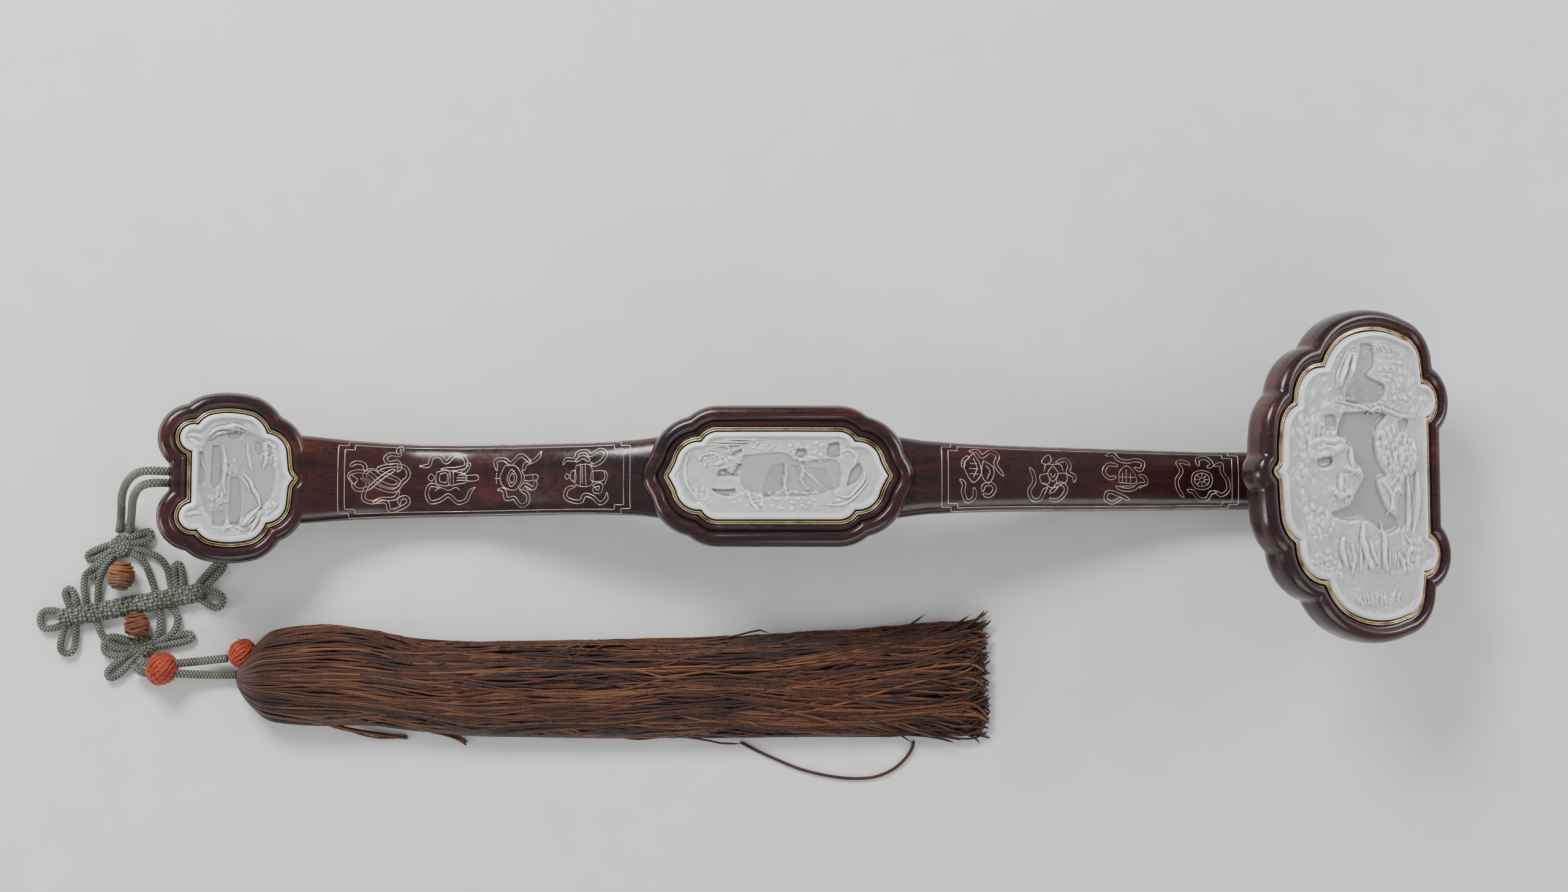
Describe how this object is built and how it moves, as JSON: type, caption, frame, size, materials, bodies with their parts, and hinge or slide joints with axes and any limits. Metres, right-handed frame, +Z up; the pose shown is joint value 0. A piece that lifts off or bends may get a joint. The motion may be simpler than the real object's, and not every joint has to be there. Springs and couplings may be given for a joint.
{
  "type": "ruyi sceptre",
  "caption": "Ruyi sceptre with an S-shaped dark hardwood shaft, carved white jade plaques in moulded frames, and a knotted silk cord with a long tassel.",
  "frame": {"origin": "on the surface that it lies on, under the middle of the sceptre without its cord and tassel", "axes": "+X from the tail plaque to the head plaque, +Z up out of the carved side, +Y away from the tassel"},
  "size_m": [0.5096, 0.1671, 0.0701],
  "materials": {
    "zitan_wood": "dark purple-brown hardwood, hand polished",
    "white_jade": null,
    "gilt_wire": "pale gilt wire",
    "green_silk": "plaited grey-green silk cord",
    "orange_thread": "orange-brown silk thread, wound",
    "coral_silk": "coral silk thread, wound",
    "brown_silk": "rust-brown silk threads, loosely twisted"
  },
  "bodies": {
    "root": {"wood_sceptre": "zitan_wood", "jade_head": "white_jade", "jade_middle": "white_jade", "jade_tail": "white_jade", "wire_rim_head": "gilt_wire", "wire_rim_middle": "gilt_wire", "wire_rim_tail": "gilt_wire", "cord_upper_far": "green_silk", "cord_upper_near": "green_silk", "cord_knotwork": "green_silk", "bead_upper": "orange_thread", "bead_lower": "orange_thread", "coral_knot_large": "coral_silk", "coral_knot_small": "coral_silk", "cord_lower_far": "green_silk", "cord_lower_near": "green_silk", "tassel": "brown_silk", "tassel_loose_thread": "brown_silk"}
  },
  "joints": []
}
